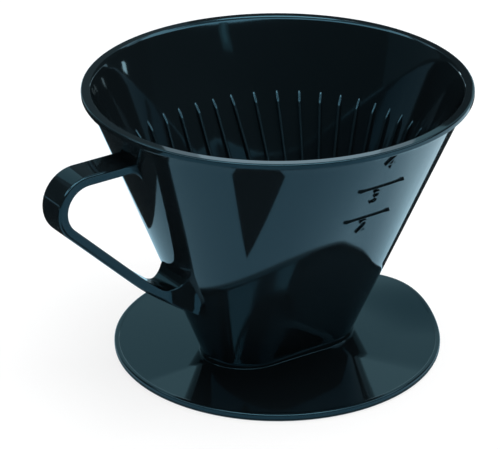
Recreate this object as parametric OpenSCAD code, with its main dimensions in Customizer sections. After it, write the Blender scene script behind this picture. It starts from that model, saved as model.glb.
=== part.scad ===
// Coffee filter holder for cone filter papers, one moulded piece.
// Z is up, the underside rests on Z = 0, the handle points to -X, the level marks face -Y.

/* [Cone] */
// Height of the whole holder
total_h = 94; // [70:0.5:130]
// Outer radius of the cone where it would meet the top of the rim
cone_top_r = 62.1; // [40:0.1:80]
// Radius of the rounded ends of the foot of the cone
foot_end_r = 15.9; // [8:0.1:30]
// Distance from the centre to the middle of each rounded end of the foot
foot_half = 12.4; // [4:0.1:30]
// Height at which the sloping wall starts, above a short upright collar
collar_z = 3.4; // [2.5:0.1:12]
// Thickness of the cone wall, measured level
wall_t = 2; // [1.2:0.1:4]
// Thickness of the floor inside the cone
floor_t = 2; // [1.2:0.1:5]

/* [Rim] */
// Outer radius of the rim
rim_r = 63; // [45:0.1:85]
// Thickness of the rim
rim_t = 2.2; // [1.2:0.1:5]
// Rounding of the outer edges of the rim
rim_round = 0.7; // [0.2:0.1:1]

/* [Base] */
// Radius of the base plate
base_r = 54.5; // [35:0.1:75]
// Thickness of the base plate
base_t = 1.6; // [1.2:0.1:4]
// Height of the raised edge of the base plate
edge_h = 2.8; // [2:0.1:6]
// Width of the raised edge of the base plate
edge_w = 1.8; // [1.4:0.1:5]
// Rounding of the lower edge of the base plate
edge_round = 1; // [0.3:0.1:1.3]
// Distance from the centre at which the end of the plate opposite the handle starts to rise
lift_x = 45; // [30:0.5:60]
// Slope of that raised end
lift_turn = 16; // [0:0.5:25]

/* [Ribs] */
// Height of the upper ends of the ribs
rib_top_z = 70.3; // [30:0.1:85]
// Thickness of each rib
rib_t = 0.9; // [0.6:0.1:1.6]
// How far each rib stands out from the wall
rib_depth = 1.2; // [0.6:0.1:2.5]
// Length of the ramp at the upper end of each rib
rib_ramp = 3.5; // [1:0.1:8]
// Number of ribs on each side of the middle one of a rounded end
rib_pairs = 9; // [2:1:10]
// Angle between the middle rib of a rounded end and the next one
rib_step = 7.75; // [6:0.05:12]
// Growth of that angle from one rib to the next
rib_spread = 0.094; // [0:0.001:0.3]
// Distance between the level ribs on the flat sides
flat_rib_pitch = 7; // [4:0.1:12]

/* [Drip holes] */
// Diameter of each drip hole
drip_d = 3.8; // [2:0.1:4]
// Distance between the two drip holes
drip_pitch = 16; // [8:0.5:24]

/* [Handle] */
// Width of the strap
strap_w = 10; // [6:0.1:20]
// Thickness of the strap
strap_t = 2.8; // [2:0.1:5]
// Height of the top face of the strap
strap_top_z = 82.6; // [50:0.1:88]
// Outer radius of the bend of the strap
bend_r = 10.9; // [6:0.1:20]
// Distance from the centre of the holder to the centre of that bend
bend_x = 74.4; // [66:0.1:100]
// Slope of the lower arm, from level
arm_slope = 44.5; // [35:0.5:55]
// Length of the straight stretch of the lower arm
arm_len = 31; // [10:0.5:50]
// Outer radius of the sweep in which the lower arm runs into the cone
sweep_r = 95; // [40:1:200]
// Angle of that sweep
sweep_turn = 14; // [4:0.5:20]
// Rounding of the corners of the finger opening
opening_round = 4.2; // [1:0.1:6]

/* [Level marks] */
// Heights of the level lines
mark_z = [64.9, 77.7];
// Length of a level line
mark_len = 18.4; // [8:0.1:30]
// Width of a level line
mark_w = 0.7; // [0.4:0.1:2]
// Diameter of the round ends of a level line
mark_end_d = 1.6; // [0.8:0.1:3]
// How far a level line stands out from the wall
mark_h = 0.35; // [0.2:0.05:1]

/* [Hidden] */
smooth = 120;
past = 5;
slope_h = total_h - collar_z;
mouth_r = cone_top_r - wall_t;
inner_end_r = foot_end_r - wall_t;
bend_z = strap_top_z - bend_r;
mould = [0.13, 0.15, 0.16];

// The slot-shaped foot section, grown by a margin
module foot_shape(grow = 0) {
    translate([-foot_half, 0]) circle(r = foot_end_r + grow, $fn = smooth);
    translate([foot_half, 0]) circle(r = foot_end_r + grow, $fn = smooth);
    square([2 * foot_half, 2 * (foot_end_r + grow)], center = true);
}

// The form that runs from the slot-shaped foot up to the round mouth
module taper(grow = 0) {
    hull() {
        for (side = [-1, 1])
            translate([side * foot_half, 0, collar_z])
                cylinder(r = foot_end_r + grow, h = 0.001, $fn = smooth);
        translate([0, 0, total_h - 0.001])
            cylinder(r = cone_top_r + grow, h = 0.001, $fn = smooth);
    }
}

// The hollow of the cone, open at the top and closed by the floor
module hollow() {
    difference() {
        union() {
            taper(-wall_t);
            translate([0, 0, 0.5]) linear_extrude(collar_z - 0.49) foot_shape(-wall_t);
            translate([0, 0, total_h - 0.01]) cylinder(r = mouth_r, h = past, $fn = smooth);
        }
        translate([-rim_r, -rim_r, -past]) cube([2 * rim_r, 2 * rim_r, past + floor_t]);
    }
}

// Points along a corner arc
function arc(x, z, r, from, to, steps = 6) =
    [for (i = [0:steps]) let (a = from + (to - from) * i / steps) [x + r * cos(a), z + r * sin(a)]];

// Flat ring around the mouth, with rounded outer edges
module rim() {
    low = total_h - rim_t;
    rotate_extrude($fn = smooth)
        polygon(concat(
            [[mouth_r - 2, low]],
            arc(rim_r - rim_round, low + rim_round, rim_round, -90, 0),
            arc(rim_r - rim_round, total_h - rim_round, rim_round, 0, 90),
            [[mouth_r - 2, total_h]]));
}

// Round plate with a raised edge
module round_plate() {
    lip = min(edge_w / 2, edge_h - base_t) * 0.7;
    rotate_extrude($fn = smooth)
        polygon(concat(
            [[0, 0]],
            arc(base_r - edge_round, edge_round, edge_round, -90, 0),
            arc(base_r - lip, edge_h - lip, lip, 0, 90),
            arc(base_r - edge_w + lip, edge_h - lip, lip, 90, 180),
            [[base_r - edge_w, base_t], [0, base_t]]));
}

// Slab that slopes up from the far end of the plate, "high" thick
module raised_slab(high) {
    slope = tan(lift_turn);
    rise = [for (x = [lift_x - 0.5, lift_x + 1.2, base_r + past]) [x, (x - lift_x) * slope]];
    rotate([90, 0, 0])
        translate([0, 0, -base_r])
            linear_extrude(2 * base_r)
                polygon([[rise[0].x, rise[1].y], rise[1], rise[2], rise[2] + [0, high], rise[0] + [0, high]]);
}

// The plate under the cone, with its end opposite the handle raised
module base_plate() {
    near = 0.05;
    intersection() {
        round_plate();
        translate([lift_x + 1.2 - 2 * base_r, -base_r - past, -past])
            cube([2 * base_r, 2 * (base_r + past), 2 * past]);
    }
    intersection() {
        raised_slab(base_t);
        cylinder(r = base_r - near, h = 4 * past, $fn = smooth);
    }
    intersection() {
        raised_slab(edge_h);
        difference() {
            cylinder(r = base_r - near, h = 4 * past, $fn = smooth);
            translate([0, 0, -past]) cylinder(r = base_r - edge_w + near, h = 6 * past, $fn = smooth);
        }
    }
}

// Two holes through the floor
module drip_holes() {
    for (side = [-1, 1])
        translate([side * drip_pitch / 2, 0, -past])
            cylinder(d = drip_d, h = past + floor_t + past, $fn = 48);
}

function unit(v) = v / norm(v);

// One straight rib between two points of the inner wall that share the wall direction "turn"
module rib(low, high, turn) {
    along = unit(high - low);
    into = unit(cross(along, [-sin(turn), cos(turn), 0]));
    side = cross(along, into);
    bottom = floor_t / 2;
    root = wall_t / 2;
    top = (rib_top_z - low.z) / along.z;
    function down(n) = (bottom - low.z - n * into.z) / along.z;
    multmatrix([
        [along.x, into.x, side.x, low.x],
        [along.y, into.y, side.y, low.y],
        [along.z, into.z, side.z, low.z],
        [0, 0, 0, 1]])
        translate([0, 0, -rib_t / 2])
            linear_extrude(rib_t)
                polygon([
                    [down(-root), -root], [down(rib_depth), rib_depth],
                    [top - rib_ramp, rib_depth], [top, 0], [top, -root]]);
}

// Ribs of a rounded end, which spread as the wall opens
module end_ribs() {
    for (i = [-rib_pairs:rib_pairs]) {
        turn = sign(i) * (rib_step * abs(i) + rib_spread * i * i);
        rib([foot_half + inner_end_r * cos(turn), inner_end_r * sin(turn), collar_z],
            [mouth_r * cos(turn), mouth_r * sin(turn), total_h], turn);
    }
}

// Ribs of a flat side, which stay parallel
module flat_ribs() {
    for (i = [-1:1])
        rib([i * flat_rib_pitch, inner_end_r, collar_z], [i * flat_rib_pitch, mouth_r, total_h], 90);
}

module ribs() {
    end_ribs();
    mirror([1, 0, 0]) end_ribs();
    flat_ribs();
    mirror([0, 1, 0]) flat_ribs();
}

// Edge of the lower arm, set in from its outer face by "inset"
function arm_edge(inset) =
    let (first = [-bend_x, bend_z] - (bend_r - inset) * [sin(arm_slope), cos(arm_slope)],
         last = first + arm_len * [cos(arm_slope), -sin(arm_slope)],
         turn_at = last + (sweep_r - inset) * [sin(arm_slope), cos(arm_slope)])
    concat([first], [for (i = [0:6]) let (a = arm_slope - sweep_turn * i / 6)
        turn_at - (sweep_r - inset) * [sin(a), cos(a)]]);

// Distance from the axis to the outside of the cone, at the end of the foot
function end_x(z) = foot_half + foot_end_r + (cone_top_r - foot_half - foot_end_r) * (z - collar_z) / slope_h;

// Outline of the strap seen from the side, before its finger opening
module strap_outline() {
    edge = arm_edge(0);
    last = edge[len(edge) - 1];
    translate([-bend_x, bend_z]) circle(r = bend_r, $fn = 72);
    polygon(concat(
        [[-end_x(strap_top_z) + wall_t, strap_top_z], [-bend_x, strap_top_z], [-bend_x, bend_z]],
        edge,
        [[-end_x(last.y) + 3 * wall_t, last.y - 3 * wall_t * tan(arm_slope - sweep_turn)],
         [-end_x(last.y) + 3 * wall_t, last.y]]));
}

// Finger opening between the strap and the cone
module opening_outline() {
    edge = arm_edge(strap_t);
    low = [for (p = edge) if (p.x < -end_x(p.y)) p];
    last = low[len(low) - 1];
    top = strap_top_z - strap_t;
    offset(r = opening_round) offset(delta = -opening_round)
        polygon(concat(
            [[-end_x(top), top]],
            arc(-bend_x, bend_z, bend_r - strap_t, 90, 270 - arm_slope, 24),
            low,
            [[-end_x(last.y), last.y]]));
}

module handle() {
    rotate([90, 0, 0])
        translate([0, 0, -strap_w / 2])
            linear_extrude(strap_w)
                difference() {
                    strap_outline();
                    opening_outline();
                }
}

// Raised lines for the water levels, on the front
module level_marks() {
    intersection() {
        taper(mark_h);
        for (z = mark_z)
            translate([0, 0, z])
                rotate([90, 0, 0]) {
                    linear_extrude(rim_r + past) square([mark_len, mark_w], center = true);
                    for (side = [-1, 1])
                        translate([side * (mark_len - mark_end_d) / 2, 0, 0])
                            cylinder(d = mark_end_d, h = rim_r + past, $fn = 24);
                }
    }
}

module filter_holder() {
    color(mould) {
        difference() {
            union() {
                taper();
                linear_extrude(collar_z + 0.01) foot_shape();
                rim();
                base_plate();
                handle();
                level_marks();
            }
            hollow();
            drip_holes();
        }
        ribs();
    }
}

filter_holder();
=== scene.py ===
import bpy, bmesh, math
from mathutils import Matrix, Vector


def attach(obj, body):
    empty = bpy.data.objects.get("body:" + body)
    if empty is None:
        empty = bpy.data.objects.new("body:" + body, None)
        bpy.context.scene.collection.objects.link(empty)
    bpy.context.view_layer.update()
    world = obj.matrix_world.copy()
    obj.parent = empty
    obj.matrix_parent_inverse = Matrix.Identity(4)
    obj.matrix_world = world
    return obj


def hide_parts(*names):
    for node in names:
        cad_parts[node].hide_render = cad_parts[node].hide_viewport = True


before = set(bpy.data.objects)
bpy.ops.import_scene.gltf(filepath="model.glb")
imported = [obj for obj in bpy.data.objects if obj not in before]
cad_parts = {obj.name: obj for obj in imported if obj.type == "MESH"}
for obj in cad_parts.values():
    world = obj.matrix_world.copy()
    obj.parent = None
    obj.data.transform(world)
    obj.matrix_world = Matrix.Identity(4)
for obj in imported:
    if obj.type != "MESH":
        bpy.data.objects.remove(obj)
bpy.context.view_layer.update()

mm = 0.001
print("frame loaded")


# Shared helpers

def heading(turn):
    # level direction at an angle in radians
    return Vector((math.cos(turn), math.sin(turn), 0))


def arcPoints(x, z, radius, start, end, steps):
    # points on an arc around a centre, from one angle in degrees to another
    points = []
    for i in range(steps + 1):
        angle = math.radians(start + (end - start) * i / steps)
        points.append((x + radius * math.cos(angle), z + radius * math.sin(angle)))
    return points


def joinRings(bm, rings, capped=False):
    # faces between closed rings of corners, and over the two ends
    for a, b in zip(rings, rings[1:]):
        for i in range(len(a)):
            j = (i + 1) % len(a)
            bm.faces.new((a[i], a[j], b[j], b[i]))
    if capped:
        bm.faces.new(rings[0])
        bm.faces.new(list(reversed(rings[-1])))


def makeObject(name, bm, material, smoothAngle=50):
    # sizes are worked out in millimetres and scaled here
    bmesh.ops.scale(bm, vec=(mm, mm, mm), verts=bm.verts)
    bmesh.ops.recalc_face_normals(bm, faces=bm.faces)
    mesh = bpy.data.meshes.new(name)
    for edge in bm.edges:
        if len(edge.link_faces) == 2 and edge.calc_face_angle() > math.radians(smoothAngle):
            edge.smooth = False
    for face in bm.faces:
        face.smooth = True
    bm.to_mesh(mesh)
    bm.free()
    obj = bpy.data.objects.new(name, mesh)
    bpy.context.scene.collection.objects.link(obj)
    mesh.materials.append(material)
    obj.modifiers.new("evenShading", "WEIGHTED_NORMAL").keep_sharp = True
    return obj


# Black plastic

plasticLook = {
    "colour": (0.0034, 0.0054, 0.0066), "tint": (0.38, 0.8, 1.0), "ior": 1.5,
    # the ribs are rubbed by the papers
    "roughness": 0.06, "rubbedRoughness": 0.2,
    # flow clouds from the mould: size, and how far they go in colour and in gloss
    "cloudScale": 38, "cloudDetail": 3, "cloudColour": (0.85, 1.2), "cloudGloss": (0.8, 1.3),
    # waves of the moulded skin
    "waveScale": 160, "waveDetail": 1, "waveStrength": 0.02, "waveHeight": 0.0002,
}


def makePlastic(name, roughness):
    look = plasticLook
    material = bpy.data.materials.new(name)
    material.use_nodes = True
    nodes, links = material.node_tree.nodes, material.node_tree.links
    shader = nodes["Principled BSDF"]
    shader.inputs["IOR"].default_value = look["ior"]
    shader.inputs["Specular Tint"].default_value = (*look["tint"], 1)
    # faint flow clouds, in colour and gloss
    place = nodes.new("ShaderNodeTexCoord")
    cloud = nodes.new("ShaderNodeTexNoise")
    cloud.inputs["Scale"].default_value = look["cloudScale"]
    cloud.inputs["Detail"].default_value = look["cloudDetail"]
    links.new(place.outputs["Object"], cloud.inputs["Vector"])
    tone = nodes.new("ShaderNodeValToRGB")
    for element, share in zip(tone.color_ramp.elements, look["cloudColour"]):
        element.color = (*[c * share for c in look["colour"]], 1)
    links.new(cloud.outputs["Fac"], tone.inputs["Fac"])
    links.new(tone.outputs["Color"], shader.inputs["Base Color"])
    gloss = nodes.new("ShaderNodeMapRange")
    least, most = look["cloudGloss"]
    gloss.inputs["To Min"].default_value = roughness * least
    gloss.inputs["To Max"].default_value = roughness * most
    links.new(cloud.outputs["Fac"], gloss.inputs["Value"])
    links.new(gloss.outputs["Result"], shader.inputs["Roughness"])
    # very shallow waves
    skin = nodes.new("ShaderNodeTexNoise")
    skin.inputs["Scale"].default_value = look["waveScale"]
    skin.inputs["Detail"].default_value = look["waveDetail"]
    links.new(place.outputs["Object"], skin.inputs["Vector"])
    bump = nodes.new("ShaderNodeBump")
    bump.inputs["Strength"].default_value = look["waveStrength"]
    bump.inputs["Distance"].default_value = look["waveHeight"]
    links.new(skin.outputs["Fac"], bump.inputs["Height"])
    links.new(bump.outputs["Normal"], shader.inputs["Normal"])
    return material


plastic = makePlastic("glossBlackPlastic", plasticLook["roughness"])
rubbed = makePlastic("rubbedBlackPlastic", plasticLook["rubbedRoughness"])
print("plastic made")

# Cone, rim and base plate

cone = {
    "height": 94, "topRadius": 62.1, "footEndRadius": 15.9, "footHalf": 12.4,
    "collarHeight": 3.4, "wall": 2.0, "floor": 2.0, "floorFillet": 0.6,
    "rowsOfWall": 30, "columnsOfEnd": 72, "rowsOfFillet": 4,
    # rings of the floor, as shares of the end radius inside
    "floorRings": (0.66, 0.33, 0),
    # on the flat sides the columns stand at these azimuths of the plate
    "azimuthsOfFlat": (56, *range(60, 121, 3), 124),
    # the upright foot starts at this height, and the bend into the slope is this long each way
    "footStart": 2.8, "collarBend": 0.3,
    # where the even rows of the wall end: below the rim outside, below the mouth and above the foot inside
    "outerEnd": 0.6, "innerTop": 1.0, "innerFoot": 0.4,
    # the flat sides end in a point under the rim, and their columns are joined where they are this narrow
    "tipHalf": 0.4, "weld": 0.0005,
}
rim = {
    "radius": 63.3, "thickness": 2.1, "outerRounding": 0.6, "rowsOfRounding": 5,
    "bevel": 0.5, "bevelSlope": 48,
    # small steps outwards and up: in the corner under the rim, onto the bevel and off it
    "cornerSteps": ((0.15, -0.12), (0.5, 0)), "crestSteps": ((0.12, 0), (0.03, -0.02)),
    "mouthStep": (-0.05, -0.15),
    "bevelRows": (0.1, 0.5, 0.9), "bevelDrop": 0.05,
}
plate = {
    "radius": 54.9, "edgeHeight": 2.8, "edgeWidth": 1.8,
    "lowerRounding": 1.3, "lipRounding": 0.6, "footFillet": 0.13,
    # rows on the roundings of the edge, and the angle where the inner one runs out into the arched top
    "rowsOfLower": 6, "rowsOfLip": 5, "rowsOfInner": 3, "innerEnd": 144,
    # radii of the rings below and above, and steps of the ones beside the raised edge
    "ringsBelow": (12, 24, 30, 34, 37, 40, 43, 46, 49, 51.5),
    "ringsAbove": (51, 49, 47, 45, 43, 41, 39, 37, 35, 33, 31), "edgeSteps": (0.1, -0.2, -0.6),
    # rings from there in to the foot: shares of the way out, then shares of the fillet climbed
    "sharesOut": (0.85, 0.7, 0.55, 0.4, 0.25, 0.1, 0), "sharesClimbed": (0.3, 0.7, 1),
    # three shallow arches between creases at these azimuths, from the crease height, growing outwards
    "creases": (180, -60, 60), "creaseHeight": 1.1, "archGrowth": 0.034,
    # the edge opposite the handle is bent up: azimuth, half width, height, distance where it starts
    "liftAzimuth": -2.5, "liftHalfWidth": 33, "liftHeight": 2.9, "liftStart": 34,
}
drips = {"diameter": 3.8, "pitch": 16, "sides": 48, "cutLength": 12, "cutMiddle": 1}


def sectionAt(z, inset=0.0):
    # half length of the straight sides and radius of the ends, at a height on the sloping wall
    share = (z - cone["collarHeight"]) / (cone["height"] - cone["collarHeight"])
    half = cone["footHalf"] * (1 - share)
    radius = cone["footEndRadius"] + (cone["topRadius"] - cone["footEndRadius"]) * share
    return half, radius - inset


def ringColumns():
    # columns around the cone, as (share of the half length, direction, whether it is on a flat side)
    columns = []
    count = cone["columnsOfEnd"]
    for side, start in ((1, -90), (-1, 90)):
        for i in range(count + 1):
            columns.append((side, math.radians(start + 180 * i / count), i in (0, count)))
        for azimuth in cone["azimuthsOfFlat"]:
            x = side * cone["footEndRadius"] / math.tan(math.radians(azimuth))
            columns.append((x / cone["footHalf"], math.radians(start + 180), True))
    return columns


def plateTop(azimuth, radius):
    # height of the top face of the plate, which arches up between its creases
    turn = math.radians(len(plate["creases"]) / 2 * (azimuth - plate["creases"][0]))
    return plate["creaseHeight"] + plate["archGrowth"] * radius * abs(math.sin(turn))


def plateLift(azimuth, radius):
    # how far the end of the plate is bent up, rising softly outwards and to its middle
    off = abs((azimuth - plate["liftAzimuth"] + 180) % 360 - 180) / plate["liftHalfWidth"]
    if off >= 1 or radius <= plate["liftStart"]:
        return 0
    share = min((radius - plate["liftStart"]) / (plate["radius"] - plate["liftStart"]), 1)
    ease = share * share * (3 - 2 * share)
    return plate["liftHeight"] * math.cos(math.pi / 2 * off) ** 2 * ease


def plateRows():
    # rings of the plate as (radius, height, whether on the arched top), from the underside up and inwards
    low, lip, top = plate["lowerRounding"], plate["lipRounding"], plate["edgeHeight"]
    inner = plate["radius"] - plate["edgeWidth"]
    rows = [(r, 0, False) for r in plate["ringsBelow"]]
    edge = arcPoints(plate["radius"] - low, low, low, -90, 0, plate["rowsOfLower"])
    edge += arcPoints(plate["radius"] - lip, top - lip, lip, 0, 90, plate["rowsOfLip"])
    edge += arcPoints(inner + lip, top - lip, lip, 90, plate["innerEnd"], plate["rowsOfInner"])
    rows += [(x, z, False) for x, z in edge]
    rows += [(inner + step, 0, True) for step in plate["edgeSteps"]]
    rows += [(r, 0, True) for r in plate["ringsAbove"]]
    return rows


def footRows():
    # rings from the plate in to the foot, as (share of the way out, share of the fillet climbed)
    return [(away, 0) for away in plate["sharesOut"]] + [(0, climb) for climb in plate["sharesClimbed"]]


def bodyRows():
    # rows of (half length, end radius, height) from the foot up the wall, over the rim and down to the floor
    half, foot, wall = cone["footHalf"], cone["footEndRadius"], cone["wall"]
    collar, bend = cone["collarHeight"], cone["collarBend"]
    top, low = cone["height"], cone["height"] - rim["thickness"]
    rows = [(half, foot, cone["footStart"]), (half, foot, collar - bend)]
    # outer wall
    count = cone["rowsOfWall"]
    for i in range(count + 1):
        z = collar + bend + (low - cone["outerEnd"] - collar - bend) * i / count
        rows.append((*sectionAt(z), z))
    # rim
    halfUnder, under = sectionAt(low)
    rows += [(halfUnder, under + out, low + rise) for out, rise in rim["cornerSteps"]]
    soft, edge = rim["outerRounding"], rim["radius"] - rim["outerRounding"]
    rounding = arcPoints(edge, low + soft, soft, -90, 0, rim["rowsOfRounding"])
    rounding += arcPoints(edge, top - soft, soft, 0, 90, rim["rowsOfRounding"])
    rows += [(0, x, z) for x, z in rounding]
    # bevelled inner edge
    mouth = cone["topRadius"] - wall
    slope = math.radians(rim["bevelSlope"])
    across, down = rim["bevel"] * math.cos(slope), rim["bevel"] * math.sin(slope)
    rows += [(0, mouth + across + out, top + rise) for out, rise in rim["crestSteps"]]
    rows += [(0, mouth + across * (1 - s), top - rim["bevelDrop"] - down * s) for s in rim["bevelRows"]]
    out, rise = rim["mouthStep"]
    rows.append((0, mouth + out, top + rise - down))
    # inner wall and floor
    first, last = top - cone["innerTop"], collar + cone["innerFoot"]
    for i in range(count + 1):
        z = first + (last - first) * i / count
        rows.append((*sectionAt(z, wall), z))
    end, fillet = foot - wall, cone["floorFillet"]
    corner = arcPoints(end - fillet, cone["floor"] + fillet, fillet, 0, -90, cone["rowsOfFillet"])
    rows += [(half, x, z) for x, z in corner]
    rows += [(half, end * share, cone["floor"]) for share in cone["floorRings"]]
    return rows


def buildBody():
    bm = bmesh.new()
    columns = ringColumns()
    feet = [Vector((side * cone["footHalf"], 0, 0)) + cone["footEndRadius"] * heading(turn)
            for side, turn, onFlat in columns]
    azimuths = [math.degrees(math.atan2(foot.y, foot.x)) for foot in feet]
    rings = []
    for radius, z, onTop in plateRows():
        ring = []
        for azimuth in azimuths:
            height = plateTop(azimuth, radius) if onTop else z
            place = radius * heading(math.radians(azimuth))
            place.z = height + plateLift(azimuth, radius)
            ring.append(bm.verts.new(place))
        rings.append(ring)
    # from the innermost ring of the plate to the foot, with a small fillet against it
    innermost, fillet = plate["ringsAbove"][-1], plate["footFillet"]
    for away, climb in footRows():
        bend = climb * math.pi / 2
        ring = []
        for foot, azimuth, (side, turn, onFlat) in zip(feet, azimuths, columns):
            start = foot + fillet * heading(turn)
            far = innermost * heading(math.radians(azimuth))
            place = start + (far - start) * away + (foot - start) * math.sin(bend)
            place.z = plateTop(azimuth, place.length) + fillet * (1 - math.cos(bend))
            ring.append(bm.verts.new(place))
        rings.append(ring)
    for half, radius, z in bodyRows():
        ring = []
        for side, turn, onFlat in columns:
            x = 0 if onFlat and half < cone["tipHalf"] else side * half + radius * math.cos(turn)
            ring.append(bm.verts.new((x, radius * math.sin(turn), z)))
        rings.append(ring)
    joinRings(bm, rings)
    # underside
    middle = bm.verts.new((0, 0, 0))
    for i in range(len(columns)):
        bm.faces.new((middle, rings[0][(i + 1) % len(columns)], rings[0][i]))
    bmesh.ops.remove_doubles(bm, verts=bm.verts, dist=cone["weld"])
    bmesh.ops.dissolve_degenerate(bm, edges=bm.edges, dist=cone["weld"])
    return makeObject("filterCone", bm, plastic, smoothAngle=70)


def cutDripHoles(body):
    cutters = []
    radius = drips["diameter"] / 2
    for side in (-1, 1):
        bm = bmesh.new()
        bmesh.ops.create_cone(bm, cap_ends=True, segments=drips["sides"], radius1=radius, radius2=radius,
                              depth=drips["cutLength"])
        bmesh.ops.translate(bm, vec=(side * drips["pitch"] / 2, 0, drips["cutMiddle"]), verts=bm.verts)
        cutters.append(makeObject("dripCutter", bm, plastic))
    for cutter in cutters:
        cut = body.modifiers.new("dripHole", "BOOLEAN")
        cut.operation = "DIFFERENCE"
        cut.object = cutter
        cut.solver = "EXACT"
    bpy.context.view_layer.update()
    depsgraph = bpy.context.evaluated_depsgraph_get()
    mesh = bpy.data.meshes.new_from_object(body.evaluated_get(depsgraph))
    body.modifiers.clear()
    body.data = mesh
    body.modifiers.new("evenShading", "WEIGHTED_NORMAL").keep_sharp = True
    for cutter in cutters:
        bpy.data.objects.remove(cutter)


body = buildBody()
cutDripHoles(body)
print("cone, rim and base plate built")

# Ribs inside the cone

ribs = {
    "topHeight": 70.7, "bottom": 1.0, "thickness": 1.2, "rounding": 0.5, "rowsOfRounding": 3,
    # how far they stand out at the top and at the foot, and how far they reach into the wall
    "depth": 1.1, "lowDepth": 2.2, "root": 1.0,
    # on each rounded end: pairs beside the middle rib, step between them and how it grows outwards
    "pairsAtEnds": 9, "step": 7.31, "spread": 0.143, "flatPitch": 7,
    # the ramp at the top: its length, and the depth at shares of it from its foot to its tip
    "ramp": 4.2, "rowsBelowRamp": 6,
    "rampShape": ((1.0, 1.0), (0.9, 0.97), (0.75, 0.85), (0.5, 0.58), (0.25, 0.3), (0.05, 0.05), (0.0, -0.1)),
}


def addRib(bm, low, high, turn):
    # a rib along a straight line of the wall, standing out towards the inside
    # its stations are distances along it with shares of the depth
    along = (high - low).normalized()
    into = along.cross(Vector((-math.sin(turn), math.cos(turn), 0))).normalized()
    side = along.cross(into)
    top = (ribs["topHeight"] - low.z) / along.z
    bottom = (ribs["bottom"] - low.z) / along.z
    # the ribs grow deeper towards the foot
    straight = top - ribs["ramp"]
    grow = (ribs["lowDepth"] / ribs["depth"] - 1) / straight
    stations = [(bottom, 1 + grow * top)]
    count = ribs["rowsBelowRamp"]
    stations += [(straight * i / count, 1 + grow * straight * (1 - i / count)) for i in range(count)]
    stations += [(top - ribs["ramp"] * s, share) for s, share in ribs["rampShape"]]
    half, root, soft = ribs["thickness"] / 2, ribs["root"], ribs["rounding"]
    rings = []
    for s, share in stations:
        depth = ribs["depth"] * share
        shape = [(-half, -root)]
        shape += arcPoints(-half + soft, depth - soft, soft, 180, 90, ribs["rowsOfRounding"])
        shape += arcPoints(half - soft, depth - soft, soft, 90, 0, ribs["rowsOfRounding"])
        shape.append((half, -root))
        rings.append([bm.verts.new(low + along * s + side * w + into * n) for w, n in shape])
    joinRings(bm, rings, capped=True)


def buildRibs():
    bm = bmesh.new()
    foot, mouth = cone["footEndRadius"] - cone["wall"], cone["topRadius"] - cone["wall"]
    low, high = Vector((0, 0, cone["collarHeight"])), Vector((0, 0, cone["height"]))
    for end in (1, -1):
        for i in range(-ribs["pairsAtEnds"], ribs["pairsAtEnds"] + 1):
            turn = math.copysign(ribs["step"] * abs(i) + ribs["spread"] * i * i, i)
            turn = math.radians(turn if end == 1 else 180 - turn)
            middle = Vector((end * cone["footHalf"], 0, 0))
            addRib(bm, low + middle + foot * heading(turn), high + mouth * heading(turn), turn)
    for end in (1, -1):
        for i in (-1, 0, 1):
            start, finish = (Vector((i * ribs["flatPitch"], end * reach, 0)) for reach in (foot, mouth))
            addRib(bm, low + start, high + finish, math.radians(90 * end))
    return makeObject("innerRibs", bm, rubbed, smoothAngle=40)


innerRibs = buildRibs()
print("ribs built")

# Strap handle

strap = {
    "width": 10.8, "thickness": 3.3, "topHeight": 82.9, "bendRadius": 11.4, "bendPlace": 74.4,
    "armSlope": 44.5, "armLength": 31, "sweepRadius": 110, "cornerRounding": 4.2,
    # the lower corner is rounder, and the cone cuts its curve off at this distance from its centre
    "lowRounding": 5.2, "lowReach": 3.8,
    "edgeRounding": 0.8, "innerRounding": 0.35,
    # how far the ends reach into the wall, and steps that lead them there
    "sink": 1.2, "topSteps": ((1.0, -0.3), (0.1, 0)), "lowSteps": ((0.6, 0.6), (1.2, 1.2)),
    # the arm widens beside the cone: slope of the flare, distance from the axis where it starts, most it adds
    # on each side, how softly it starts, and the height that it stays below
    "flare": 0.45, "flareStart": 46.3, "flareMost": 3.6, "flareSoft": 0.8, "flareBelow": 60,
    # rows along the parts of the strap
    "rowsOfCorner": 6, "rowsOfBend": 22, "rowsOfArm": 4, "rowsOfLowCorner": 11,
    # rows across its faces and on its rounded edges, and shares of the way from the upper corner to the bend
    "rowsAcross": 8, "rowsOfEdge": 4, "sharesOfTop": (0.25, 0.5, 0.75),
    # heights that the lower corner lies between, halvings that find it, and steps in degrees to the outer end
    # of the sweep
    "lowBetween": (20, 70), "halvings": 60, "sweepStep": 0.25,
}


def endPlace(z):
    # outside of the cone at the end of its foot, as a distance from the axis
    half, radius = sectionAt(z)
    return half + radius


def wallLean():
    # how far that outside moves out per millimetre of height
    low, high = cone["collarHeight"], cone["height"]
    return (endPlace(high) - endPlace(low)) / (high - low)


def strapTop():
    # inside and outside of the upper end, from the wall to the bend, as points of distance and height
    lean, rounding, count = wallLean(), strap["cornerRounding"], strap["rowsOfCorner"]
    high, zTop = strap["topHeight"], strap["topHeight"] - strap["thickness"]
    corner = Vector((-endPlace(zTop - rounding) - math.sqrt(1 + lean * lean) * rounding, zTop - rounding))
    tilt = math.degrees(math.atan(lean))
    inner = [Vector(p) for p in arcPoints(*corner, rounding, tilt, 90, count)]
    start = -endPlace(zTop) + strap["sink"]
    outer = [Vector((start + (corner.x - start) * i / count, high)) for i in range(count + 1)]
    innerStep, outerStep = strap["topSteps"]
    inner.insert(0, inner[0] + Vector(innerStep))
    outer.insert(0, outer[0] + Vector(outerStep))
    for share in strap["sharesOfTop"]:
        x = corner.x + (-strap["bendPlace"] - corner.x) * share
        inner.append(Vector((x, zTop)))
        outer.append(Vector((x, high)))
    return inner, outer


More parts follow.
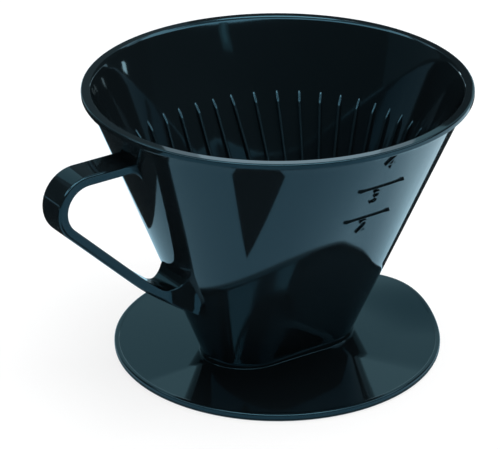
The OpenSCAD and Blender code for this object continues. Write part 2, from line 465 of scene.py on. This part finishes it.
def addBendAndArm(inner, outer):
    # round the bend and straight down the arm
    bend = Vector((-strap["bendPlace"], strap["topHeight"] - strap["bendRadius"]))
    slope = math.radians(strap["armSlope"])
    finish, count = 270 - strap["armSlope"], strap["rowsOfBend"]
    for path, radius in ((inner, strap["bendRadius"] - strap["thickness"]), (outer, strap["bendRadius"])):
        path += [Vector(p) for p in arcPoints(*bend, radius, 90, finish, count)]
        start, step = path[-1].copy(), Vector((math.cos(slope), -math.sin(slope))) * strap["armLength"]
        for i in range(1, strap["rowsOfArm"] + 1):
            path.append(start + step * i / strap["rowsOfArm"])


def towardsSweep(slope):
    # direction from the strap to the centre of its sweep, where the strap has this slope in degrees
    return Vector((math.sin(math.radians(slope)), math.cos(math.radians(slope))))


def addSweepAndFoot(inner, outer):
    # the arm sweeps in to the cone, and inside it ends in the lower corner
    outside, inside = strap["sweepRadius"], strap["sweepRadius"] - strap["thickness"]
    sweep = outer[-1] + outside * towardsSweep(strap["armSlope"])
    # height where a circle at this distance from the wall touches the inside of the arm, found by halving
    rounding, away = strap["lowRounding"], strap["lowReach"]
    low, high = strap["lowBetween"]
    for _ in range(strap["halvings"]):
        z = (low + high) / 2
        gap = (Vector((-endPlace(z) - away, z)) - sweep).length - (inside - rounding)
        low, high = (low, z) if gap < 0 else (z, high)
    corner = Vector((-endPlace(z) - away, z))
    out = (corner - sweep).normalized()
    slopeThere = math.degrees(math.atan2(-out.x, -out.y))
    for i in range(1, strap["rowsOfArm"] + 1):
        slope = strap["armSlope"] + (slopeThere - strap["armSlope"]) * i / strap["rowsOfArm"]
        inner.append(sweep - inside * towardsSweep(slope))
        outer.append(sweep - outside * towardsSweep(slope))
    # inside, round the corner and into the wall
    lean, count = wallLean(), strap["rowsOfLowCorner"]
    start = math.degrees(math.atan2(out.y, out.x)) % 360
    cutOff = math.degrees(math.acos(away / math.sqrt(1 + lean * lean) / rounding))
    finish = 360 + math.degrees(math.atan(lean)) - cutOff
    inner += [Vector(p) for p in arcPoints(*corner, rounding, start, finish, count)][1:]
    inner += [inner[-1] + Vector(step) for step in strap["lowSteps"]]
    # outside, on along the sweep until it is in the wall, in as many rows
    slope, ends = slopeThere, []
    while not ends or ends[-1].x <= -endPlace(ends[-1].y) + strap["sink"]:
        slope -= strap["sweepStep"]
        ends.append(sweep - outside * towardsSweep(slope))
    rows = count + len(strap["lowSteps"])
    outer += [ends[round((len(ends) - 1) * i / rows)] for i in range(1, rows + 1)]


def strapPaths():
    inner, outer = strapTop()
    addBendAndArm(inner, outer)
    addSweepAndFoot(inner, outer)
    return inner, outer


def halfWidth(place):
    # half width of the strap at a point of distance and height
    near = place.x + strap["flareStart"] if place.y < strap["flareBelow"] else 0
    soft = strap["flareSoft"]
    extra = near - soft / 2 if near > soft else max(near, 0) ** 2 / (2 * soft)
    return strap["width"] / 2 + min(strap["flare"] * extra, strap["flareMost"])


def strapSection(a, across, length):
    # one side of the section, as distances along and half widths, from the opening to the outer face
    inside, outside = strap["innerRounding"], strap["edgeRounding"]
    side = []
    for i in range(strap["rowsAcross"] + 1):
        along = inside + (length - inside - outside) * i / strap["rowsAcross"]
        side.append((along, halfWidth(a + across * along)))
    first, last = side[0][1], side[-1][1]
    start = arcPoints(inside, first - inside, inside, 180, 90, strap["rowsOfEdge"])
    end = arcPoints(length - outside, last - outside, outside, 90, 0, strap["rowsOfEdge"])
    return start[:-1] + side + end[1:]


def buildStrap():
    bm = bmesh.new()
    rings = []
    for a, b in zip(*strapPaths()):
        across = (b - a).normalized()
        profile = strapSection(a, across, (b - a).length)
        ring = []
        for along, side in [(x, -w) for x, w in profile] + [(x, w) for x, w in reversed(profile)]:
            place = a + across * along
            ring.append(bm.verts.new((place.x, side, place.y)))
        rings.append(ring)
    joinRings(bm, rings, capped=True)
    return makeObject("strapHandle", bm, plastic, smoothAngle=60)


strapHandle = buildStrap()
print("strap handle built")

# Level lines and numerals

levels = {
    # heights of the lines and how far they sit off the middle
    "lines": {"2": (64.9, 0.9), "3": (77.8, 1.4)}, "lineLength": 18.4, "lineWidth": 0.84, "lineRelief": 0.52,
    # the lines swell into a drop at each end, over this length
    "endWidth": 1.6, "endRelief": 0.85, "swellLength": 2.6, "swellPower": 1.5,
    # how wide the crest is, how small the very tip is, and the rows along a line
    "crestShare": 0.1, "tipShare": 0.1, "rowsOfLine": 40,
    # middles of the numerals on the wall
    "numerals": {"2": (0.2, 61.4), "3": (0.2, 73.8), "4": (0.2, 88.3)}, "numeralHeight": 5.5,
    "numeralRelief": 0.6, "numeralBevel": 0.012, "numeralFoot": 0.05,
    # how deep the marks reach into the wall
    "sunk": 0.4, "weld": 0.001,
}


def onFront(x, z, out=0.0):
    # point on the outside of the front wall at a level x and height z, moved out along the wall's normal
    half, radius = sectionAt(z)
    turn = math.asin(min(max(abs(x) - half, 0) / radius, 1))
    rise = (cone["topRadius"] - cone["footEndRadius"]) / (cone["height"] - cone["collarHeight"])
    normal = Vector((math.copysign(math.sin(turn), x), -math.cos(turn), -rise)).normalized()
    return Vector((x, -radius * math.cos(turn), z)) + normal * out


def buildLevelLines():
    bm = bmesh.new()
    half, thin, thick = levels["lineLength"] / 2, levels["lineWidth"] / 2, levels["endWidth"] / 2
    count, sunk = levels["rowsOfLine"], levels["sunk"]
    crest, tip = levels["crestShare"], levels["tipShare"]
    low, high = levels["lineRelief"], levels["endRelief"]
    for z0, middle in levels["lines"].values():
        rings = []
        for i in range(count + 1):
            x = -math.cos(math.pi * i / count) * half
            end = half - abs(x)
            swell = max(0, 1 - max(end - thick, 0) / levels["swellLength"]) ** levels["swellPower"]
            if end < thick:
                swell *= math.sqrt(max(1 - (1 - end / thick) ** 2, tip ** 2))
            start = min(1, tip + end)
            w = thin * start + (thick - thin) * swell
            relief = low * start + (high - low) * swell
            # a ridge with a narrow crest
            ridge = [(-w, -sunk), (-w, 0), (-crest * w, relief), (crest * w, relief), (w, 0), (w, -sunk)]
            rings.append([bm.verts.new(onFront(middle + x, z0 + up, out)) for up, out in ridge])
        joinRings(bm, rings, capped=True)
    return makeObject("levelLines", bm, plastic, smoothAngle=25)


def flatNumeral(digit):
    # the numeral as a thin flat mesh with a bevelled edge
    text = bpy.data.curves.new("numeral", "FONT")
    text.body = digit
    bevel = levels["numeralBevel"]
    text.extrude, text.bevel_depth, text.bevel_resolution, text.offset = bevel, bevel, 0, -bevel
    holder = bpy.data.objects.new("numeral", text)
    bpy.context.scene.collection.objects.link(holder)
    bpy.context.view_layer.update()
    flat = bpy.data.meshes.new_from_object(holder.evaluated_get(bpy.context.evaluated_depsgraph_get()))
    bpy.data.objects.remove(holder)
    return flat


def buildNumerals():
    bm = bmesh.new()
    for digit, (x0, z0) in levels["numerals"].items():
        flat = flatNumeral(digit)
        low = [min(v.co[k] for v in flat.vertices) for k in (0, 1)]
        high = [max(v.co[k] for v in flat.vertices) for k in (0, 1)]
        size = levels["numeralHeight"] / (high[1] - low[1])
        # wrap it onto the wall, with its bevel as the slope from the wall to the raised face:
        # in the flat mesh the bevel starts at once its size and the face lies at twice
        for v in flat.vertices:
            across = (v.co.x - (low[0] + high[0]) / 2) * size
            up = (v.co.y - (low[1] + high[1]) / 2) * size
            out = -levels["sunk"]
            if v.co.z > 1.5 * levels["numeralBevel"]:
                out = levels["numeralRelief"]
            elif v.co.z > 0:
                out = -levels["numeralFoot"]
            v.co = onFront(x0 + across, z0 + up, out)
        bm.from_mesh(flat)
        bpy.data.meshes.remove(flat)
    bmesh.ops.remove_doubles(bm, verts=bm.verts, dist=levels["weld"])
    return makeObject("levelNumerals", bm, plastic, smoothAngle=40)


levelLines = buildLevelLines()
levelNumerals = buildNumerals()
print("level lines and numerals built")

for piece in (body, innerRibs, strapHandle, levelLines, levelNumerals):
    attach(piece, "root")
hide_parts("filter_holder")

# Floor and cards

studio = {
    "floorTone": (0.9, 0.91, 0.92), "floorSize": 6000, "floorHeight": -0.05, "shadowShare": 0.22,
    # white table as the gloss sees it, as colours at places along X in millimetres
    "tableGlow": ((-100, (0.48, 0.80, 0.96)), (-20, (0.49, 0.80, 0.98)), (30, (0.56, 0.92, 1.12)),
                  (60, (0.67, 1.05, 1.26)), (90, (0.90, 1.33, 1.55)), (130, (0.98, 1.36, 1.56))),
    "tableStrength": 2,
    "lampPlace": (0.3, -0.2, 2.0), "lampPower": 60, "lampSize": 2.2, "fillStrength": 0.5,
}

# painted shade on the table, seen only in the gloss: dark sheets where the table lies in shadow, as corner
# points in millimetres
tableShades = {
    "frontShade": [(-50, -38.5), (-44, -79), (-38, -120), (-125, -120), (-115, -51.5), (-85, -46)],
    "rightShade": [(62, -5), (147.5, 18.5), (420, 91), (420, 520), (62, 520)],
    "leftShade": [(-95, 45), (-27.5, 85), (0, 152), (40, 250), (40, 900), (-900, 900), (-900, 20), (-110, 38)],
}
tableShadeLook = {"height": 0.02, "strength": 0.03, "tone": (0.655, 0.885, 1.0)}

# cards around the set: azimuth and elevation spans in degrees, brightness, tone; each stands a little nearer
roomCards = {
    "topCap": (0, 360, 48, 90, 0.6, (0.6, 0.88, 1.0)),
    "topLamp": (165, 310, 60, 76, 8.0, (0.85, 0.97, 1.0)),
    "softBand": (130, 345, 34, 48, 4.0, (0.75, 0.92, 1.0)),
    "sideScreen": (105, 130, 34, 50, 0.2, (0.6, 0.88, 1.0)),
    "backScreen": (5, 105, 9, 52, 0.66, (0.5, 0.88, 1.0)),
    "horizon": (5, 105, -1, 9, 1.0, (0.6, 0.88, 1.0)),
    "darkRoom": (105, 365, -1, 34, 0.06, (0.62, 0.9, 0.98)),
    "darkSide": (345, 365, 34, 50, 0.3, (0.6, 0.88, 1.0)),
}
roomSize = {"radius": 2500, "nearer": 0.01, "panelDegrees": 3, "weld": 0.01}

# upright cards around the rim that shape the light on it and on the wall inside:
# distance from the axis, azimuths in degrees, heights, brightness, tone
rimCards = {
    "rimFlag": (78, -4, 78, 97, 132, 0.04, (0.6, 0.88, 1.0)),
    "rimFlagLeft": (78, 78, 135, 97, 150, 0.14, (0.6, 0.88, 1.0)),
    "rimStrip": (77, 26, 76, 140, 176, 2.1, (0.72, 0.9, 1.0)),
    "rimStripNear": (77.5, 16, 26, 140, 176, 1.3, (0.72, 0.9, 1.0)),
    "rimStripFar": (77.5, 76, 86, 140, 176, 1.2, (0.72, 0.9, 1.0)),
    # two small lights seen in the wall inside
    "lowLight": (64.5, 30.2, 34.4, 96.4, 100.8, 5.5, (0.8, 0.97, 1.0)),
    "smallWindow": (76.4, 284.5, 288.5, 150.5, 175, 0.95, (0.6, 0.93, 1.0)),
    "windowGlow": (76.5, 282, 291, 147, 175, 0.45, (0.6, 0.93, 1.0)),
}
rimCardPanels = 24

# the table is dim right beside the plate, where hardly any light comes in
contactShade = {"radii": (50, 55.2, 56.6), "stepDegrees": 5, "height": 0.01,
                "strength": 0.3, "tone": (0.5, 0.85, 1.0)}


def glowMaterial(name, strength, tone):
    material = bpy.data.materials.new(name)
    material.use_nodes = True
    nodes, links = material.node_tree.nodes, material.node_tree.links
    nodes.remove(nodes["Principled BSDF"])
    glow = nodes.new("ShaderNodeEmission")
    glow.inputs["Color"].default_value = (*tone, 1)
    glow.inputs["Strength"].default_value = strength
    links.new(glow.outputs["Emission"], nodes["Material Output"].inputs["Surface"])
    return material


def onlyInGloss(obj):
    # studio cards shape the reflections and are not seen themselves
    obj.visible_camera = obj.visible_diffuse = obj.visible_shadow = obj.visible_volume_scatter = False


def rayIs(nodes, links, kinds):
    # a value of 1 for light paths of these kinds
    path = nodes.new("ShaderNodeLightPath")
    value = path.outputs[kinds[0]]
    for kind in kinds[1:]:
        either = nodes.new("ShaderNodeMath")
        either.operation = "MAXIMUM"
        links.new(value, either.inputs[0])
        links.new(path.outputs[kind], either.inputs[1])
        value = either.outputs["Value"]
    return value


def mixed(nodes, links, share, first, second):
    # mix of two shaders, by a fixed share or by a value from a node
    mix = nodes.new("ShaderNodeMixShader")
    if isinstance(share, float):
        mix.inputs["Fac"].default_value = share
    else:
        links.new(share, mix.inputs["Fac"])
    links.new(first, mix.inputs[1])
    links.new(second, mix.inputs[2])
    return mix.outputs["Shader"]


def tableGlow(nodes, links):
    # the white of the table in gloss, brighter towards the window side
    place = nodes.new("ShaderNodeNewGeometry")
    parts = nodes.new("ShaderNodeSeparateXYZ")
    links.new(place.outputs["Position"], parts.inputs["Vector"])
    along = nodes.new("ShaderNodeMapRange")
    stops = studio["tableGlow"]
    first, last = stops[0][0], stops[-1][0]
    along.inputs["From Min"].default_value = first * mm
    along.inputs["From Max"].default_value = last * mm
    links.new(parts.outputs["X"], along.inputs["Value"])
    tones = nodes.new("ShaderNodeValToRGB")
    while len(tones.color_ramp.elements) < len(stops):
        tones.color_ramp.elements.new(0.5)
    for element, (x, tone) in zip(tones.color_ramp.elements, stops):
        element.position = (x - first) / (last - first)
        element.color = (*[c / studio["tableStrength"] for c in tone], 1)
    links.new(along.outputs["Result"], tones.inputs["Fac"])
    glow = nodes.new("ShaderNodeEmission")
    glow.inputs["Strength"].default_value = studio["tableStrength"]
    links.new(tones.outputs["Color"], glow.inputs["Color"])
    return glow.outputs["Emission"]


def makeFloor():
    bm = bmesh.new()
    bmesh.ops.create_grid(bm, x_segments=2, y_segments=2, size=studio["floorSize"])
    material = bpy.data.materials.new("paleFloor")
    material.use_nodes = True
    nodes, links = material.node_tree.nodes, material.node_tree.links
    nodes.remove(nodes["Principled BSDF"])
    matt = nodes.new("ShaderNodeBsdfDiffuse")
    matt.inputs["Color"].default_value = (*studio["floorTone"], 1)
    white = nodes.new("ShaderNodeEmission")
    white.inputs["Strength"].default_value = 1
    # plain white to the camera, with part of the lamp's shadow kept
    shadowKept = mixed(nodes, links, studio["shadowShare"], white.outputs["Emission"], matt.outputs["BSDF"])
    camera = rayIs(nodes, links, ["Is Camera Ray"])
    forCamera = mixed(nodes, links, camera, matt.outputs["BSDF"], shadowKept)
    clear = rayIs(nodes, links, ["Is Glossy Ray", "Is Transmission Ray"])
    surface = mixed(nodes, links, clear, forCamera, tableGlow(nodes, links))
    links.new(surface, nodes["Material Output"].inputs["Surface"])
    floor = makeObject("studioFloor", bm, material)
    floor.location.z = studio["floorHeight"] * mm


# painted shade: near-black glowing sheets on the table that stand in for its shadows, seen only in the gloss
def makeTableShades():
    dark = glowMaterial("paintedTableShade", tableShadeLook["strength"], tableShadeLook["tone"])
    for name, corners in tableShades.items():
        bm = bmesh.new()
        bm.faces.new([bm.verts.new((x, y, tableShadeLook["height"])) for x, y in corners])
        onlyInGloss(makeObject(name, bm, dark))


def spanSteps(start, end, count):
    # angles in radians from one to the other, both in degrees
    return [math.radians(start + (end - start) * i / count) for i in range(count + 1)]


def makeRoomCards():
    for k, (name, (azFrom, azTo, elFrom, elTo, strength, tone)) in enumerate(roomCards.items()):
        bm = bmesh.new()
        radius = roomSize["radius"] * (1 - roomSize["nearer"] * k)
        around = max(2, int((azTo - azFrom) / roomSize["panelDegrees"]))
        upward = max(2, int((elTo - elFrom) / roomSize["panelDegrees"]))
        rows = []
        for el in spanSteps(elFrom, elTo, upward):
            rise = Vector((0, 0, radius * math.sin(el)))
            rows.append([bm.verts.new(radius * math.cos(el) * heading(az) + rise)
                         for az in spanSteps(azFrom, azTo, around)])
        for a, b in zip(rows, rows[1:]):
            for j in range(around):
                bm.faces.new((a[j], a[j + 1], b[j + 1], b[j]))
        bmesh.ops.remove_doubles(bm, verts=bm.verts, dist=roomSize["weld"])
        onlyInGloss(makeObject(name, bm, glowMaterial(name + "Glow", strength, tone)))


def makeRimCards():
    for name, (radius, azFrom, azTo, low, high, strength, tone) in rimCards.items():
        bm = bmesh.new()
        columns = []
        for az in spanSteps(azFrom, azTo, rimCardPanels):
            foot = radius * heading(az)
            columns.append([bm.verts.new((foot.x, foot.y, z)) for z in (low, high)])
        for a, b in zip(columns, columns[1:]):
            bm.faces.new((a[0], b[0], b[1], a[1]))
        onlyInGloss(makeObject(name, bm, glowMaterial(name + "Glow", strength, tone)))


def makeContactShade():
    bm = bmesh.new()
    rings = []
    for radius in contactShade["radii"]:
        azimuths = range(0, 360, contactShade["stepDegrees"])
        around = [radius * heading(math.radians(azimuth)) for azimuth in azimuths]
        rings.append([bm.verts.new((p.x, p.y, contactShade["height"])) for p in around])
    joinRings(bm, rings)
    shade = glowMaterial("contactShade", contactShade["strength"], contactShade["tone"])
    onlyInGloss(makeObject("contactShade", bm, shade))


# Light and camera

def makeLamp():
    lamp = bpy.data.lights.new("softLamp", "AREA")
    lamp.shape, lamp.size, lamp.energy = "DISK", studio["lampSize"], studio["lampPower"]
    obj = bpy.data.objects.new("softLamp", lamp)
    obj.location = studio["lampPlace"]
    # it looks at the foot of the object
    obj.rotation_euler = (Vector((0, 0, 0)) - obj.location).to_track_quat("-Z", "Y").to_euler()
    obj.visible_glossy = False
    bpy.context.scene.collection.objects.link(obj)


def makeWorld():
    world = bpy.data.worlds.new("studioWorld")
    bpy.context.scene.world = world
    world.use_nodes = True
    nodes, links = world.node_tree.nodes, world.node_tree.links
    fill = nodes["Background"]
    fill.inputs["Color"].default_value = (1, 1, 1, 1)
    fill.inputs["Strength"].default_value = studio["fillStrength"]
    white = nodes.new("ShaderNodeBackground")
    white.inputs["Color"].default_value = (1, 1, 1, 1)
    white.inputs["Strength"].default_value = 1
    # white behind the object and in its gloss, dimmer as a light
    seen = rayIs(nodes, links, ["Is Camera Ray", "Is Glossy Ray", "Is Transmission Ray"])
    surface = mixed(nodes, links, seen, fill.outputs["Background"], white.outputs["Background"])
    links.new(surface, nodes["World Output"].inputs["Surface"])


makeFloor()
makeTableShades()
makeRoomCards()
makeRimCards()
makeContactShade()
makeLamp()
makeWorld()
print("floor, cards and lamp placed")

# the camera that was fitted to the photo: place in millimetres, directions to its right and upwards
photoCamera = {
    "place": (-430.743, -606.114, 403.693), "lens": 180, "sensorWidth": 36,
    "right": (0.8212530, -0.5705558, -0.0030948), "up": (0.2510004, 0.3564062, 0.8999852),
    "nearest": 0.05, "farthest": 50,
}


def makeCamera():
    data = bpy.data.cameras.new("photoCamera")
    data.sensor_width = photoCamera["sensorWidth"]
    data.lens = photoCamera["lens"]
    data.clip_start, data.clip_end = photoCamera["nearest"], photoCamera["farthest"]
    camera = bpy.data.objects.new("photoCamera", data)
    bpy.context.scene.collection.objects.link(camera)
    right, up = Vector(photoCamera["right"]), Vector(photoCamera["up"])
    back = right.cross(up)
    place = Vector(photoCamera["place"]) * mm
    camera.matrix_world = Matrix((
        (right.x, up.x, back.x, place.x), (right.y, up.y, back.y, place.y),
        (right.z, up.z, back.z, place.z), (0, 0, 0, 1)))
    bpy.context.scene.camera = camera


makeCamera()
bpy.context.scene.view_settings.view_transform = "Standard"
print("studio ready")
